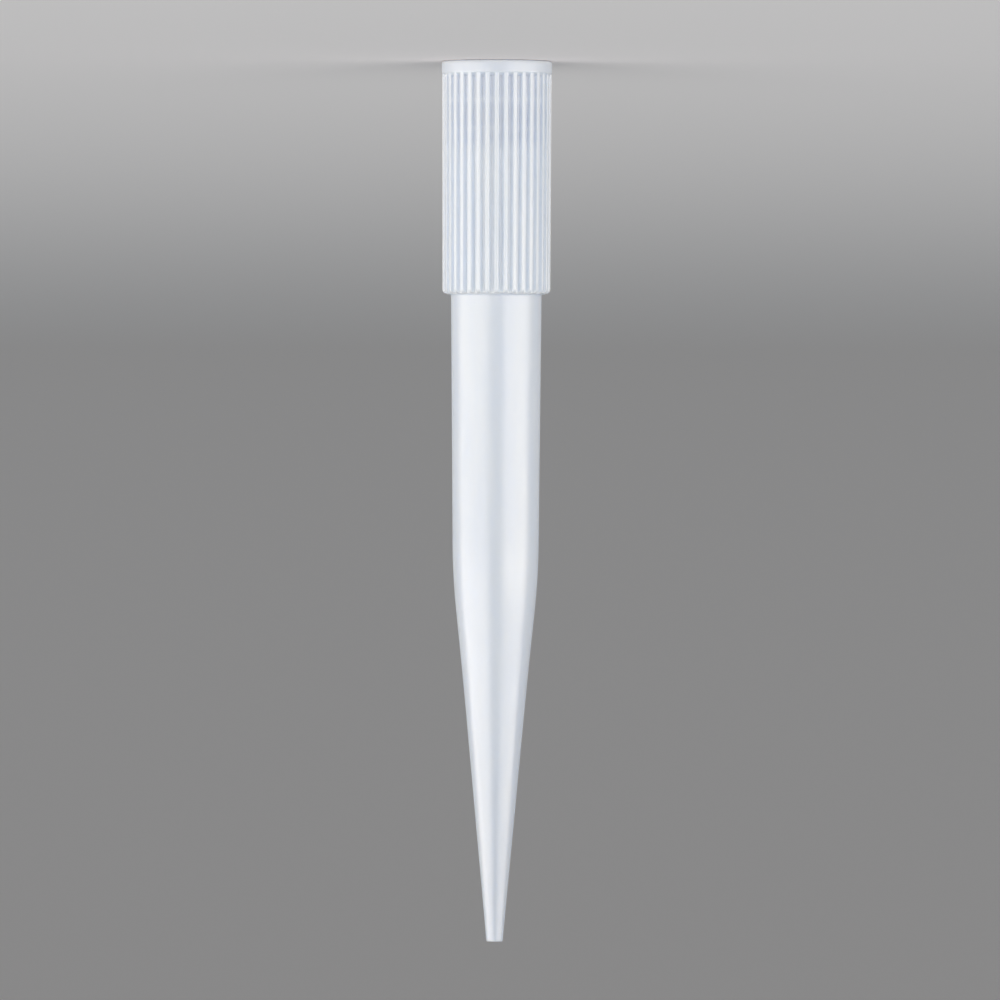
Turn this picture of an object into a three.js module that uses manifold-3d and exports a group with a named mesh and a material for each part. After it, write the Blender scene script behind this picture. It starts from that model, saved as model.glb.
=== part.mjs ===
// A pipette tip for 1000 microlitre pipettes, injection moulded in one piece of milky polypropylene.
//
// All sizes are in millimetres. The tip stands on its open rim with the point up: the rim lies at
// z = 0 and the axis is +Z. Going up, the outside is a smooth hoop round the mouth, a collar with
// fine ribs along it, a ledge by which the tip hangs in a rack, a nearly straight barrel, a knee, and
// a long cone that ends at the orifice. Inside, a tapered socket takes the nozzle and ends at a stop,
// and the bore beyond it follows the outside one wall thickness further in.

import * as THREE from 'three';
import { mergeVertices } from 'three/addons/utils/BufferGeometryUtils.js';
import Module from 'manifold-3d';

const wasm = await Module();
wasm.setup();

// Lengths of the stretches, from the rim to the point
const collarLength = 18.8;
const barrelLength = 22.8;
const kneeLength = 8;
const coneLength = 21.4;

// Outside diameters where the stretches meet
const rimDiameter = 8.9;
const collarFootDiameter = 8.76;
const barrelHeadDiameter = 7.3;
const barrelFootDiameter = 6.9;
const coneHeadDiameter = 5.24;
const pointDiameter = 1.31;

// Bore of the mouth, which takes the seal, and of the slightly narrower socket behind it
const mouthLength = 6.8;
const mouthHeadDiameter = 7.4;
const mouthFootDiameter = 7.2;
const socketHeadDiameter = 7;
const socketFootDiameter = 6.5;

// Wall thicknesses, and the hole at the point
const mouthWall = 0.48;
const socketWall = 0.7;
const barrelWall = 0.52;
const kneeWall = 0.46;
const coneWall = 0.44;
const orificeDiameter = 0.7;

// The smooth hoop round the rim, which slopes down to the tube that carries the ribs
const hoopLength = 1;
const hoopSlopeLength = 0.3;

// Ribs along the collar. They fill the space between the tapered tube and the straight outside, and
// grow taller towards the ledge. Their crests lie just inside the hoop, and their feet by the ledge.
const ribCount = 36;
const ribRootWidth = 0.4;
const ribCrestWidth = 0.26;
const ribSetback = 0.04;
const ribFootRounding = 0.34;

// Two low rings inside the mouth, which grip the nozzle
const sealRingCount = 2;
const firstSealDepth = 3.2;
const sealSpacing = 2.3;
const sealWidth = 0.9;
const sealHeight = 0.14;

// Slopes inside: the lead-in at the rim, below the mouth, and at the nozzle's stop
const leadInLength = 0.5;
const leadInDepth = 0.12;
const mouthFunnelLength = 0.3;
const nozzleStopLength = 0.4;

// How far the rounding of an edge reaches from its corner
const rimRounding = 0.25;
const pointRounding = 0.06;
const hoopRounding = 0.12;
const ledgeRootRounding = 0.2;
const kneeRounding = 2.6;

// How far the cutter for the bore runs past each end
const boreOverrun = 1;

// Facets of the round surfaces
const facetsAround = 72;
const facetsPerRounding = 2;

// Heights where the stretches meet
const kneeStart = collarLength + barrelLength;
const coneStart = kneeStart + kneeLength;
const pointHeight = coneStart + coneLength;

// Radius at a height, on the straight line between two ends of a tapered stretch
function taper(height, startHeight, startRadius, endHeight, endRadius) {
  return THREE.MathUtils.mapLinear(height, startHeight, endHeight, startRadius, endRadius);
}

// Outside of the collar over the ribs, and of the bare tube between them
function collarRadius(height) {
  return taper(height, 0, rimDiameter / 2, collarLength, collarFootDiameter / 2);
}

function mouthRadius(height) {
  return taper(height, 0, mouthHeadDiameter / 2, mouthLength, mouthFootDiameter / 2);
}

function socketRadius(height) {
  return taper(height, mouthLength, socketHeadDiameter / 2, collarLength, socketFootDiameter / 2);
}

// Replaces each corner [radius, height, rounding] of a closed outline by a short curve that leaves
// both sides smoothly. The rounding never takes more than half of a side.
function roundCorners(corners) {
  return corners.flatMap(([radius, height, rounding = 0], index) => {
    const corner = new THREE.Vector2(radius, height);
    if (rounding === 0) {
      return [corner];
    }
    const neighbours = [corners.at(index - 1), corners[(index + 1) % corners.length]];
    const ends = neighbours.map(([x, y]) => {
      const side = new THREE.Vector2(x, y).sub(corner);
      return corner.clone().add(side.setLength(Math.min(rounding, side.length() / 2)));
    });
    return new THREE.QuadraticBezierCurve(ends[0], corner, ends[1]).getPoints(facetsPerRounding);
  });
}

// Turns an outline of radii and heights, which starts and ends on the Z axis, round that axis
function revolve(outline) {
  return new THREE.LatheGeometry(outline, facetsAround).rotateX(Math.PI / 2);
}

// A solid that can be joined and cut, from a closed geometry
function toSolid(geometry) {
  geometry.deleteAttribute('normal');
  geometry.deleteAttribute('uv');
  const merged = mergeVertices(geometry);
  return new wasm.Manifold(new wasm.Mesh({
    numProp: 3,
    vertProperties: new Float32Array(merged.attributes.position.array),
    triVerts: new Uint32Array(merged.index.array),
  }));
}

function toGeometry(solid) {
  const mesh = solid.getMesh();
  const geometry = new THREE.BufferGeometry();
  geometry.setAttribute('position', new THREE.BufferAttribute(mesh.vertProperties, 3));
  geometry.setIndex(new THREE.BufferAttribute(mesh.triVerts, 1));
  geometry.computeVertexNormals();
  return geometry;
}

// Outside of the tip without its ribs, from the rim up to the point
function outsideCorners() {
  const hoopFoot = hoopLength + hoopSlopeLength;
  return [
    [0, 0],
    [collarRadius(0), 0, rimRounding],
    [collarRadius(hoopLength), hoopLength, hoopRounding],
    [mouthRadius(hoopFoot) + mouthWall, hoopFoot],
    [mouthRadius(mouthLength) + mouthWall, mouthLength],
    [socketRadius(collarLength) + socketWall, collarLength],
    [barrelHeadDiameter / 2, collarLength, ledgeRootRounding],
    [barrelFootDiameter / 2, kneeStart, kneeRounding],
    [coneHeadDiameter / 2, coneStart, kneeRounding],
    [pointDiameter / 2, pointHeight, pointRounding],
    [0, pointHeight],
  ];
}

// A low ring that stands out from the bore, round a height
function sealRing(height) {
  return [
    [mouthRadius(height - sealWidth / 2), height - sealWidth / 2],
    [mouthRadius(height) - sealHeight, height, sealWidth / 3],
    [mouthRadius(height + sealWidth / 2), height + sealWidth / 2],
  ];
}

// The bore, from the rim up to the point. It runs on past both ends, and the nozzle's stop in it
// ends one wall before the ledge.
function boreCorners() {
  const rings = [];
  for (let ring = 0; ring < sealRingCount; ring += 1) {
    rings.push(...sealRing(firstSealDepth + ring * sealSpacing));
  }
  const leadIn = (height) => (
    taper(height, leadInLength, mouthRadius(leadInLength), 0, mouthRadius(0) + leadInDepth)
  );
  const funnelStart = mouthLength - mouthFunnelLength;
  const stopEnd = collarLength - socketWall;
  const stopStart = stopEnd - nozzleStopLength;
  const coneBore = coneHeadDiameter / 2 - coneWall;
  const pointEnd = pointHeight + boreOverrun;
  return [
    [0, -boreOverrun],
    [leadIn(-boreOverrun), -boreOverrun],
    [leadIn(leadInLength), leadInLength],
    ...rings,
    [mouthRadius(funnelStart), funnelStart],
    [socketRadius(mouthLength), mouthLength],
    [socketRadius(stopStart), stopStart],
    [barrelHeadDiameter / 2 - barrelWall, stopEnd],
    [barrelFootDiameter / 2 - kneeWall, kneeStart, kneeRounding],
    [coneBore, coneStart, kneeRounding],
    [taper(pointEnd, coneStart, coneBore, pointHeight, orificeDiameter / 2), pointEnd],
    [0, pointEnd],
  ];
}

// Outline of a star with a rib at each point. The ribs narrow from root to crest, and run from
// inside the wall out past the crest, so that the envelope cuts them to height.
function ribOutline() {
  const rootRadius = socketRadius(collarLength) + socketWall;
  const crestRadius = collarRadius(collarLength);
  const halfWidth = (radius) => (
    taper(radius, rootRadius, ribRootWidth / 2, crestRadius, ribCrestWidth / 2)
  );
  const innerRadius = rootRadius - socketWall / 2;
  const outerRadius = crestRadius + socketWall;
  const middle = new THREE.Vector2();
  const outline = [];
  for (let rib = 0; rib < ribCount; rib += 1) {
    const angle = (rib / ribCount) * Math.PI * 2;
    const sides = [[innerRadius, -1], [outerRadius, -1], [outerRadius, 1], [innerRadius, 1]];
    outline.push(...sides.map(([radius, side]) => (
      new THREE.Vector2(radius, side * halfWidth(radius)).rotateAround(middle, angle)
    )));
  }
  return outline;
}

// The ribs, from inside the hoop to just short of the ledge
function collarRibs() {
  const foot = collarLength - ribSetback;
  const crestRadius = (height) => collarRadius(height) - ribSetback;
  const star = new THREE.ExtrudeGeometry(new THREE.Shape(ribOutline()), {
    depth: collarLength - hoopLength,
    bevelEnabled: false,
  });
  star.translate(0, 0, hoopLength);
  const envelope = revolve(roundCorners([
    [0, hoopLength],
    [crestRadius(hoopLength), hoopLength],
    [crestRadius(foot), foot, ribFootRounding],
    [0, foot],
  ]));
  return toSolid(star).intersect(toSolid(envelope));
}

const outside = toSolid(revolve(roundCorners(outsideCorners())));
const bore = toSolid(revolve(roundCorners(boreCorners())));
const tip = new THREE.Mesh(
  toGeometry(outside.add(collarRibs()).subtract(bore)),
  new THREE.MeshStandardMaterial({ color: 0xe4ebf1, roughness: 0.35, metalness: 0 }),
);
tip.name = 'pipette_tip';

const group = new THREE.Group();
group.add(tip);

export default group;
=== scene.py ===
import math

import bpy
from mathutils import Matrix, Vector


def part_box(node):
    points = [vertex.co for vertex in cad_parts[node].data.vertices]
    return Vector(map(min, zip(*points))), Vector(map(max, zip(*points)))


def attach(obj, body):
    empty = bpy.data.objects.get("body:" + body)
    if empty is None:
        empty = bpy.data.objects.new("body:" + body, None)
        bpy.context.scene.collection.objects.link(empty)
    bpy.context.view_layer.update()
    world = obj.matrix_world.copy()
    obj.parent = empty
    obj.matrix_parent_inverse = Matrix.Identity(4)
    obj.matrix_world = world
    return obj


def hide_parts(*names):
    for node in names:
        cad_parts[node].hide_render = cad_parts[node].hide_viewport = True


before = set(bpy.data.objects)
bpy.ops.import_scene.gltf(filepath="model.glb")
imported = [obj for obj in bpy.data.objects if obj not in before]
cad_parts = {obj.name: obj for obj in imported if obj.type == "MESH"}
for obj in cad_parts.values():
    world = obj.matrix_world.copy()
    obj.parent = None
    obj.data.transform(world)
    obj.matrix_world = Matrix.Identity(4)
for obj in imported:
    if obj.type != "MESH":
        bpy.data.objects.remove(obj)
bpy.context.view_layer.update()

# ---------------------------------------------------------------------------------------------
# The tip
# One injection moulding in natural polypropylene, which is milky and lets light through. A long
# polished core shapes the bore, and a satin cavity with cut grooves shapes the outside and its ribs.
# It is drawn off along the axis in one stroke, so every wall has draft and no seam runs along it.
# ---------------------------------------------------------------------------------------------
MM = 0.001
tip_low, tip_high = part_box("pipette_tip")
tip_length = tip_high.z - tip_low.z

# Lengths of the stretches up from the rim, and the heights above it where they meet
hoop_top = 1.0 * MM
hoop_slope = 0.3 * MM
hoop_foot = hoop_top + hoop_slope
mouth_length = 6.8 * MM
ledge = 18.8 * MM
barrel_length = 22.8 * MM
knee_length = 8.0 * MM
knee = ledge + barrel_length
cone_base = knee + knee_length

# Outside radii, bore radii and walls
rim_radius = tip_high.x
collar_foot_radius = 4.38 * MM
barrel_radius = 3.65 * MM
knee_radius = 3.45 * MM
cone_radius = 2.62 * MM
point_radius = 0.655 * MM
orifice_radius = 0.35 * MM
mouth_radii = (3.7 * MM, 3.6 * MM)
socket_radii = (3.5 * MM, 3.25 * MM)
mouth_wall = 0.48 * MM
socket_wall = 0.7 * MM
barrel_wall = 0.52 * MM
knee_wall = 0.46 * MM
cone_wall = 0.44 * MM
point_wall = point_radius - orifice_radius

# How far the rounding of an edge reaches from its corner
rim_rounding = 0.25 * MM
hoop_rounding = 0.12 * MM
hoop_foot_rounding = 0.05 * MM
ledge_edge_rounding = 0.015 * MM
ledge_root_rounding = 0.2 * MM
knee_rounding = 2.6 * MM
point_rounding = 0.06 * MM
orifice_rounding = 0.04 * MM
bore_step_rounding = 0.14 * MM
bore_edge_rounding = 0.06 * MM

# Ribs along the collar, which grow taller towards the ledge as the tube under them narrows
rib_count = 36
rib_crest_width = 0.26 * MM
rib_root_width = 0.4 * MM
rib_setback = 0.04 * MM
rib_foot_rounding = 0.34 * MM
rib_foot = ledge - rib_setback

# Seal rings in the mouth, and the slopes inside the bore
seal_heights = (3.2 * MM, 5.5 * MM)
seal_width = 0.9 * MM
seal_rise = 0.14 * MM
lead_in_length = 0.5 * MM
lead_in_depth = 0.12 * MM
mouth_funnel = 0.3 * MM
nozzle_stop = 0.4 * MM

# The haze: how clear a wall is at most, the walls between which that fades to none, how clear the
# ribs are, and how far light carries the step from the mouth's wall to the socket's each way
most_clearness = 0.38
clearest_wall = 0.3 * MM
haziest_wall = 0.7 * MM
rib_clearness = 0.15
step_spread = 1.4 * MM


def between(low, high, share):
    return low + (high - low) * share


def collar_radius(height):
    return between(rim_radius, collar_foot_radius, height / ledge)


def mouth_radius(height):
    return between(*mouth_radii, height / mouth_length)


def up_socket(height):
    """How far up the socket a height lies: 0 where the mouth ends, 1 at the ledge."""
    return (height - mouth_length) / (ledge - mouth_length)


def socket_radius(height):
    return between(*socket_radii, up_socket(height))


def tube_radius(height):
    """The outside of the collar between its ribs."""
    if height < mouth_length:
        return mouth_radius(height) + mouth_wall
    foot = mouth_radius(mouth_length) + mouth_wall
    return between(foot, socket_radius(ledge) + socket_wall, up_socket(height))


def crest_radius(height):
    """Where the ribs' crests lie at a height. Above their feet they round off."""
    past = (height - (rib_foot - rib_foot_rounding)) / rib_foot_rounding
    drop = rib_foot_rounding * (1 - math.sqrt(1 - min(past, 1) ** 2)) if past > 0 else 0
    return collar_radius(height) - rib_setback - drop


def swelling(offset):
    """How far a seal ring stands out of the bore, from -0.5 to 0.5 across its width."""
    return seal_rise * math.cos(math.pi * offset) ** 2


def seal_ring(middle, samples=10):
    """Corners of a seal ring round a height, from its upper side down to its lower one."""
    for step in range(samples + 1):
        offset = between(0.5, -0.5, step / samples)
        height = middle + offset * seal_width
        yield mouth_radius(height) - swelling(offset), height, 0


def wall_at(height):
    """How thick the wall is at a height, between the ribs and without the hoop. The step from the
    mouth to the socket is spread out, because light spreads that far in the haze."""
    if height < ledge:
        rings = sum(swelling(min(abs(height - middle) / seal_width, 0.5)) for middle in seal_heights)
        share = min(max((height - mouth_length) / (2 * step_spread) + 0.5, 0), 1)
        return between(mouth_wall, socket_wall, share * share * (3 - 2 * share)) + rings
    if height < knee:
        return between(barrel_wall, knee_wall, (height - ledge) / (knee - ledge))
    if height < cone_base:
        return between(knee_wall, cone_wall, (height - knee) / (cone_base - knee))
    return between(cone_wall, point_wall, (height - cone_base) / (tip_length - cone_base))


def rounded(corners, steps=5, guard=0.04 * MM, most_of_side=0.45):
    """A closed outline from corners (radius, height, rounding). Each rounding is a short curve with a
    guard point beyond each end, which keeps the flats beside it flat when the faces are smoothed."""
    outline = []
    for index, (radius, height, rounding) in enumerate(corners):
        corner = Vector((radius, height))
        if not rounding:
            outline.append(corner)
            continue
        ends = []
        for neighbour in (corners[index - 1], corners[(index + 1) % len(corners)]):
            side = Vector(neighbour[:2]) - corner
            reach = min(rounding, side.length * most_of_side)
            ends.append((corner + side.normalized() * reach, side.normalized() * guard))
        (start, before), (end, after) = ends
        outline.append(start + before)
        for step in range(steps + 1):
            share = step / steps
            outline.append(start.lerp(corner, share).lerp(corner.lerp(end, share), share))
        outline.append(end + after)
    return outline


def collar_outside():
    """The hoop, and the tube that carries the ribs, from the rim up to the ledge. There are more
    points where the ribs come out of the hoop's slope, where the wall's clearness changes, and where
    the ribs' feet are rounded."""
    slope_shares = (0.35, 0.5, 0.65, 0.8)
    mouth_steps = 24
    past_mouth = 0.04
    foot_steps = 9
    slope_low = Vector((collar_radius(hoop_top), hoop_top))
    slope_high = Vector((tube_radius(hoop_foot), hoop_foot))
    corners = [(rim_radius, 0, rim_rounding), (*slope_low, hoop_rounding)]
    corners += [(*slope_low.lerp(slope_high, share), 0) for share in slope_shares]
    corners.append((*slope_high, hoop_foot_rounding))
    heights = [between(hoop_foot, mouth_length, step / mouth_steps) for step in range(1, mouth_steps)]
    heights += [mouth_length, between(mouth_length, ledge, past_mouth)]
    for step in range(foot_steps + 1):
        heights.append(rib_foot - rib_foot_rounding * math.cos(math.pi / 2 * step / foot_steps))
    corners += [(tube_radius(height), height, 0) for height in heights]
    return corners + [(tube_radius(ledge), ledge, ledge_edge_rounding)]


def bore():
    """The inside, from the cone's base down to the rim. The nozzle's stop ends one wall before the
    ledge."""
    stop_end = ledge - socket_wall
    stop_start = stop_end - nozzle_stop
    funnel_start = mouth_length - mouth_funnel
    corners = [
        (cone_radius - cone_wall, cone_base, knee_rounding),
        (knee_radius - knee_wall, knee, knee_rounding),
        (barrel_radius - barrel_wall, stop_end, bore_step_rounding),
        (socket_radius(stop_start), stop_start, bore_step_rounding),
        (socket_radius(mouth_length), mouth_length, bore_edge_rounding),
        (mouth_radius(funnel_start), funnel_start, bore_edge_rounding),
    ]
    for middle in reversed(seal_heights):
        corners += seal_ring(middle)
    return corners + [
        (mouth_radius(lead_in_length), lead_in_length, bore_step_rounding),
        (mouth_radius(0) + lead_in_depth, 0, bore_edge_rounding),
    ]


def clearness(wall):
    """How much light goes straight through a wall: more where it is thinner."""
    share = (wall - clearest_wall) / (haziest_wall - clearest_wall)
    return between(most_clearness, 0.0, min(max(share, 0), 1))


def tip_section():
    """The tip's wall cut along the axis, as a ring of edges: up the outside from the rim, then down
    the bore. Each point keeps its distance from the axis, its height, how far a rib would rise above
    it, and how clear the wall is."""
    above_ledge = [
        (barrel_radius, ledge, ledge_root_rounding),
        (knee_radius, knee, knee_rounding),
        (cone_radius, cone_base, knee_rounding),
        (point_radius, tip_length, point_rounding),
        (orifice_radius, tip_length, orifice_rounding),
    ]
    outline = rounded(collar_outside() + above_ledge + bore())
    count = len(outline)
    mesh = bpy.data.meshes.new("tip_section")
    mesh.from_pydata(
        [(point.x, 0, point.y) for point in outline],
        [(index, (index + 1) % count) for index in range(count)],
        [],
    )
    rises = []
    for radius, height in outline:
        on_tube = radius > mouth_radius(0) and hoop_top < height <= rib_foot
        rises.append(max(0.0, crest_radius(height) - radius) if on_tube else 0.0)
    for name, values in (
        ("from_axis", [point.x for point in outline]),
        ("height", [point.y for point in outline]),
        ("rib_rise", rises),
        ("clear", [clearness(wall_at(point.y)) for point in outline]),
    ):
        mesh.attributes.new(name, "FLOAT", "POINT").data.foreach_set("value", values)
    return mesh


def sweep_tree():
    """Geometry Nodes that turn the section round the axis and raise the ribs on it as they go."""
    tree = bpy.data.node_groups.new("tip_sweep", "GeometryNodeTree")
    tree.is_modifier = True
    add_socket = tree.interface.new_socket
    add_socket("Section", in_out="INPUT", socket_type="NodeSocketGeometry")
    sizes = {}
    for name, kind in (
        ("Ribs", "NodeSocketInt"),
        ("Steps Around", "NodeSocketInt"),
        ("Crest Share", "NodeSocketFloat"),
        ("Root Share", "NodeSocketFloat"),
        ("Flank Crowding", "NodeSocketFloat"),
        ("Middle Crowding", "NodeSocketFloat"),
        ("Rib Clearness", "NodeSocketFloat"),
        ("Material", "NodeSocketMaterial"),
    ):
        sizes[name] = add_socket(name, in_out="INPUT", socket_type=kind).identifier
    add_socket("Tip", in_out="OUTPUT", socket_type="NodeSocketGeometry")
    link = tree.links.new

    def node(kind, **settings):
        made = tree.nodes.new(kind)
        for name, value in settings.items():
            setattr(made, name, value)
        return made

    def maths(operation, *values):
        made = node("ShaderNodeMath", operation=operation)
        for socket, value in zip(made.inputs, values):
            if isinstance(value, bpy.types.NodeSocket):
                link(value, socket)
            else:
                socket.default_value = value
        return made.outputs[0]

    def stored(name):
        made = node("GeometryNodeInputNamedAttribute", data_type="FLOAT")
        made.inputs["Name"].default_value = name
        return made.outputs["Attribute"]

    # The section, swept round a circle whose points know how far round they lie
    start = node("NodeGroupInput")
    circle = node("GeometryNodeCurvePrimitiveCircle")
    link(start.outputs["Steps Around"], circle.inputs["Resolution"])
    place = node("GeometryNodeSplineParameter")
    turn = node("GeometryNodeStoreNamedAttribute", data_type="FLOAT", domain="POINT")
    turn.inputs["Name"].default_value = "turn"
    link(circle.outputs["Curve"], turn.inputs["Geometry"])
    link(place.outputs["Factor"], turn.inputs["Value"])
    section = node("GeometryNodeMeshToCurve")
    link(start.outputs["Section"], section.inputs["Mesh"])
    sweep = node("GeometryNodeCurveToMesh")
    link(turn.outputs["Geometry"], sweep.inputs["Curve"])
    link(section.outputs["Curve"], sweep.inputs["Profile Curve"])

    # Each rib's own position, from -0.5 to 0.5 across its pitch. Two waves crowd the steps on to the
    # flanks of the ribs, where the shape turns most.
    in_ribs = maths("MULTIPLY", stored("turn"), start.outputs["Ribs"])
    nearest = maths("ROUND", in_ribs)
    even = maths("SUBTRACT", in_ribs, nearest)
    double_wave = maths("SINE", maths("MULTIPLY", even, 2 * math.tau))
    single_wave = maths("SINE", maths("MULTIPLY", even, math.tau))
    to_flanks = maths("MULTIPLY", double_wave, start.outputs["Flank Crowding"])
    to_middle = maths("MULTIPLY", single_wave, start.outputs["Middle Crowding"])
    across = maths("SUBTRACT", maths("ADD", even, to_flanks), to_middle)

    # The rib's height there, and where that puts the point
    crest = node("ShaderNodeMapRange", interpolation_type="SMOOTHSTEP")
    link(maths("ABSOLUTE", across), crest.inputs["Value"])
    link(start.outputs["Crest Share"], crest.inputs["From Min"])
    link(start.outputs["Root Share"], crest.inputs["From Max"])
    crest.inputs["To Min"].default_value = 1
    crest.inputs["To Max"].default_value = 0
    rise = maths("MULTIPLY", stored("rib_rise"), crest.outputs["Result"])
    radius = maths("ADD", stored("from_axis"), rise)
    pitch = maths("DIVIDE", math.tau, start.outputs["Ribs"])
    angle = maths("MULTIPLY", maths("ADD", nearest, across), pitch)
    spot = node("ShaderNodeCombineXYZ")
    link(maths("MULTIPLY", radius, maths("COSINE", angle)), spot.inputs["X"])
    link(maths("MULTIPLY", radius, maths("SINE", angle)), spot.inputs["Y"])
    link(stored("height"), spot.inputs["Z"])
    moved = node("GeometryNodeSetPosition")
    link(sweep.outputs["Mesh"], moved.inputs["Geometry"])
    link(spot.outputs["Vector"], moved.inputs["Position"])

    # A rib is thin enough from flank to flank to let light through
    ribbed = maths("GREATER_THAN", stored("rib_rise"), 0.0)
    on_rib = maths("MULTIPLY", ribbed, crest.outputs["Result"])
    gain = maths("SUBTRACT", start.outputs["Rib Clearness"], stored("clear"))
    clear = maths("ADD", stored("clear"), maths("MULTIPLY", gain, on_rib))
    marked = node("GeometryNodeStoreNamedAttribute", data_type="FLOAT", domain="POINT")
    marked.inputs["Name"].default_value = "clear"
    link(moved.outputs["Geometry"], marked.inputs["Geometry"])
    link(clear, marked.inputs["Value"])

    # The sweep leaves the faces pointing into the wall
    outward = node("GeometryNodeFlipFaces")
    link(marked.outputs["Geometry"], outward.inputs["Mesh"])
    smooth = node("GeometryNodeSetShadeSmooth")
    link(outward.outputs["Mesh"], smooth.inputs["Geometry"])
    real = node("GeometryNodeRealizeInstances")
    link(smooth.outputs["Geometry"], real.inputs["Geometry"])
    finish = node("GeometryNodeSetMaterial")
    link(real.outputs["Geometry"], finish.inputs["Geometry"])
    link(start.outputs["Material"], finish.inputs["Material"])
    end = node("NodeGroupOutput")
    link(finish.outputs["Geometry"], end.inputs["Tip"])
    return tree, sizes


def milky_polypropylene():
    """Natural polypropylene: a cool white haze in the wall, with fine streaks along the way it flowed,
    and a satin skin with faint lines along the way it was drawn out of the mould."""
    material = bpy.data.materials.new("milky_moulding")
    material.use_nodes = True
    nodes, link = material.node_tree.nodes, material.node_tree.links.new
    surface = nodes["Principled BSDF"]
    surface.inputs["IOR"].default_value = 1.49
    surface.inputs["Specular IOR Level"].default_value = 0.8
    surface.inputs["Subsurface Weight"].default_value = 1.0
    surface.inputs["Subsurface Radius"].default_value = (1, 1, 1)
    surface.inputs["Subsurface Scale"].default_value = 0.4 * MM

    place = nodes.new("ShaderNodeTexCoord").outputs["Object"]

    def noise(across, along, detail):
        """Noise with so many features in a millimetre across the tip and along it."""
        stretch = nodes.new("ShaderNodeMapping")
        stretch.inputs["Scale"].default_value = (across / MM, across / MM, along / MM)
        link(place, stretch.inputs["Vector"])
        made = nodes.new("ShaderNodeTexNoise")
        made.inputs["Scale"].default_value = 1
        made.inputs["Detail"].default_value = detail
        link(stretch.outputs["Vector"], made.inputs["Vector"])
        return made.outputs["Fac"]

    # The wall: streaks of thicker and thinner haze
    haze = nodes.new("ShaderNodeValToRGB")
    haze.color_ramp.elements[0].position = 0.3
    haze.color_ramp.elements[0].color = (0.79, 0.85, 0.985, 1)
    haze.color_ramp.elements[1].position = 0.7
    haze.color_ramp.elements[1].color = (0.83, 0.88, 0.99, 1)
    link(noise(0.7, 0.09, 3), haze.inputs["Fac"])

    # Where it is thin, light goes through, and the plastic looks bluer
    clear = nodes.new("ShaderNodeAttribute")
    clear.attribute_name = "clear"
    link(clear.outputs["Fac"], surface.inputs["Transmission Weight"])
    thinness = nodes.new("ShaderNodeMapRange")
    thinness.inputs["From Max"].default_value = rib_clearness
    link(clear.outputs["Fac"], thinness.inputs["Value"])
    bluer = nodes.new("ShaderNodeMix")
    bluer.data_type = "RGBA"
    bluer.blend_type = "MULTIPLY"
    bluer.inputs["B"].default_value = (0.92, 0.94, 0.985, 1)
    link(thinness.outputs["Result"], bluer.inputs["Factor"])
    link(haze.outputs["Color"], bluer.inputs["A"])
    link(bluer.outputs["Result"], surface.inputs["Base Color"])

    # The skin: an uneven sheen, the lines of drawing, and the satin of the mould
    sheen = nodes.new("ShaderNodeMapRange")
    sheen.inputs["From Min"].default_value = 0.3
    sheen.inputs["From Max"].default_value = 0.7
    sheen.inputs["To Min"].default_value = 0.28
    sheen.inputs["To Max"].default_value = 0.32
    link(noise(1.6, 0.25, 4), sheen.inputs["Value"])
    link(sheen.outputs["Result"], surface.inputs["Roughness"])

    drawn = nodes.new("ShaderNodeBump")
    drawn.inputs["Strength"].default_value = 0.1
    drawn.inputs["Distance"].default_value = 0.006 * MM
    link(noise(9, 0.08, 2), drawn.inputs["Height"])
    satin = nodes.new("ShaderNodeBump")
    satin.inputs["Strength"].default_value = 0.1
    satin.inputs["Distance"].default_value = 0.003 * MM
    link(noise(14, 14, 3), satin.inputs["Height"])
    link(drawn.outputs["Normal"], satin.inputs["Normal"])
    link(satin.outputs["Normal"], surface.inputs["Normal"])
    return material


steps_per_rib = 12
section = bpy.data.objects.new("tip_section", tip_section())
bpy.context.scene.collection.objects.link(section)
tree, sizes = sweep_tree()
sweep = section.modifiers.new("sweep", "NODES")
sweep.node_group = tree
rib_pitch = math.tau / rib_count
sweep[sizes["Ribs"]] = rib_count
sweep[sizes["Steps Around"]] = rib_count * steps_per_rib
sweep[sizes["Crest Share"]] = rib_crest_width / 2 / collar_foot_radius / rib_pitch
sweep[sizes["Root Share"]] = rib_root_width / 2 / tube_radius(ledge) / rib_pitch
sweep[sizes["Flank Crowding"]] = 0.055
sweep[sizes["Middle Crowding"]] = 0.048
sweep[sizes["Rib Clearness"]] = rib_clearness
sweep[sizes["Material"]] = milky_polypropylene()
bpy.context.view_layer.update()
evaluated = section.evaluated_get(bpy.context.evaluated_depsgraph_get())
tip_mesh = bpy.data.meshes.new_from_object(evaluated)
tip_mesh.name = "tip_moulding"
bpy.data.objects.remove(section)
for name in ("turn", "from_axis", "height", "rib_rise"):
    tip_mesh.attributes.remove(tip_mesh.attributes[name])
tip = bpy.data.objects.new("tip_moulding", tip_mesh)
bpy.context.scene.collection.objects.link(tip)
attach(tip, "root")
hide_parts("pipette_tip")

# ---------------------------------------------------------------------------------------------
# The stage
# A sheet of pale, slightly warm paper that lies flat under the tip and curves up into a wall all
# round, so that no edge shows from any side.
# ---------------------------------------------------------------------------------------------
stage_radius = 2.6
stage_curve = 0.9
paper_colour = (0.93, 0.82, 0.75, 1)


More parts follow.
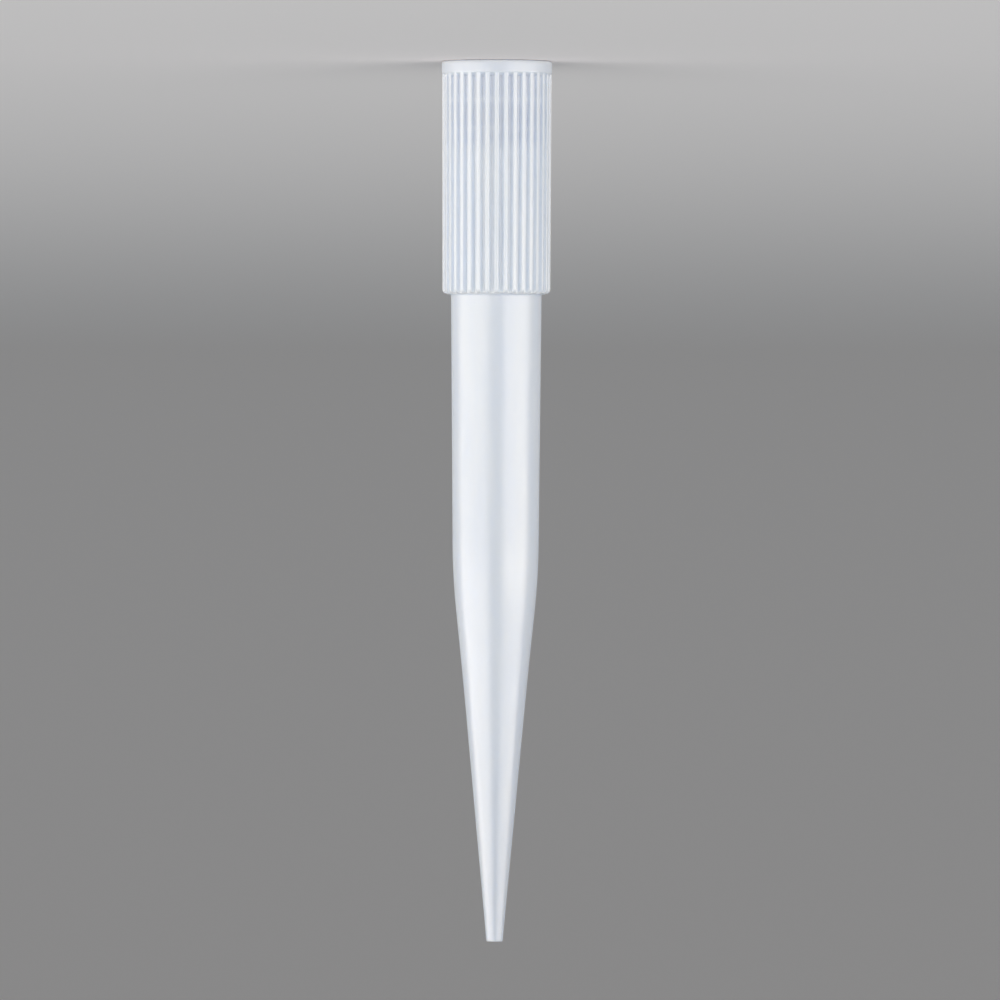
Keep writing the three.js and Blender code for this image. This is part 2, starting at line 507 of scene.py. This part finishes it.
def paper_bowl(around=96, curve_steps=16):
    """A flat disc whose edge curves up a quarter turn, with its faces turned up and inwards."""
    flat = stage_radius - stage_curve
    flat_shares = (0.1, 0.3, 0.6, 1)
    rings = [(flat * share, 0.0) for share in flat_shares]
    for step in range(1, curve_steps + 1):
        angle = math.pi / 2 * step / curve_steps
        rings.append((flat + stage_curve * math.sin(angle), stage_curve * (1 - math.cos(angle))))
    points = [(0, 0, 0)]
    for radius, height in rings:
        for step in range(around):
            turn = math.tau * step / around
            points.append((radius * math.cos(turn), radius * math.sin(turn), height))
    faces = []
    for step in range(around):
        beside = (step + 1) % around
        faces.append((0, 1 + step, 1 + beside))
        for inner in range(1, 1 + around * (len(rings) - 1), around):
            outer = inner + around
            faces.append((inner + step, outer + step, outer + beside, inner + beside))
    mesh = bpy.data.meshes.new("floor")
    mesh.from_pydata(points, [], faces)
    mesh.shade_smooth()
    return mesh


paper = bpy.data.materials.new("pale_paper")
paper.use_nodes = True
paper_surface = paper.node_tree.nodes["Principled BSDF"]
paper_surface.inputs["Base Color"].default_value = paper_colour
paper_surface.inputs["Roughness"].default_value = 0.9
paper_surface.inputs["Specular IOR Level"].default_value = 0.1
floor = bpy.data.objects.new("floor", paper_bowl())
floor.data.materials.append(paper)
bpy.context.scene.collection.objects.link(floor)

# ---------------------------------------------------------------------------------------------
# The light
# Two wide, low soft boxes at the sides draw long soft highlights down the tip, and light nothing
# else. A lamp above lights the paper alone. The rest of the room is dim and cool.
# ---------------------------------------------------------------------------------------------
warm = (1, 0.92, 0.83)
cool = (0.75, 0.885, 1.0)
cool_white = (0.82, 0.9, 0.97)
tip_middle = Vector((0, 0, tip_length / 2))
box_distance = 0.92
over_paper = Vector((0, -0.4, 0.9))


def flagged_lamp(name, place, size, watts, colour, receiver):
    """A lamp that faces the tip, with flags round it that keep its light off all but one piece."""
    light = bpy.data.lights.new(name, "AREA")
    light.shape = "RECTANGLE"
    light.size, light.size_y = size
    light.energy = watts
    light.color = colour
    made = bpy.data.objects.new(name, light)
    made.location = place
    made.rotation_euler = (tip_middle - made.location).to_track_quat("-Z", "Y").to_euler()
    made.visible_camera = False
    lit = bpy.data.collections.new(name + "_flags")
    lit.objects.link(receiver)
    made.light_linking.receiver_collection = lit
    bpy.context.scene.collection.objects.link(made)


def side_box(name, turn, lift, size, watts):
    """A wide soft box, turned so many degrees round the tip from the camera's side towards +X, and
    lifted above the tip's middle."""
    angle = math.radians(turn)
    offset = Vector((math.sin(angle) * box_distance, -math.cos(angle) * box_distance, lift))
    flagged_lamp(name, tip_middle + offset, size, watts, warm, tip)


side_box("wide_box_a", turn=64, lift=0.16, size=(1.86, 0.42), watts=11.6)
side_box("wide_box_b", turn=-56, lift=0.09, size=(1.36, 0.25), watts=7.2)
flagged_lamp("paper_lamp", over_paper, size=(0.8, 0.8), watts=4.6, colour=cool_white, receiver=floor)

world = bpy.data.worlds.new("studio")
bpy.context.scene.world = world
world.use_nodes = True
room = world.node_tree.nodes["Background"]
room.inputs["Color"].default_value = (*cool, 1)
room.inputs["Strength"].default_value = 0.32

# ---------------------------------------------------------------------------------------------
# The camera
# It looks level at the middle of the tip from far off, so that the rim shows straight. It is rolled
# half a turn, so that the standing tip shows with its point down, as it hangs in use, and a trace
# less than that, because a hanging tip leans by as much.
# ---------------------------------------------------------------------------------------------
camera_data = bpy.data.cameras.new("camera")
camera = bpy.data.objects.new("camera", camera_data)
bpy.context.scene.collection.objects.link(camera)
camera_data.lens = 400
camera_data.sensor_width = 36
camera_data.clip_start = 0.01
frame_width = 80.67 * MM
frame_middle_height = 35.39 * MM
aside = -0.342 * MM
roll = 179.837
camera_distance = frame_width * camera_data.lens / camera_data.sensor_width
camera.location = (aside, -camera_distance, frame_middle_height)
camera.rotation_euler = (math.radians(90), math.radians(roll), 0)
bpy.context.scene.camera = camera
bpy.context.scene.view_settings.view_transform = "Standard"
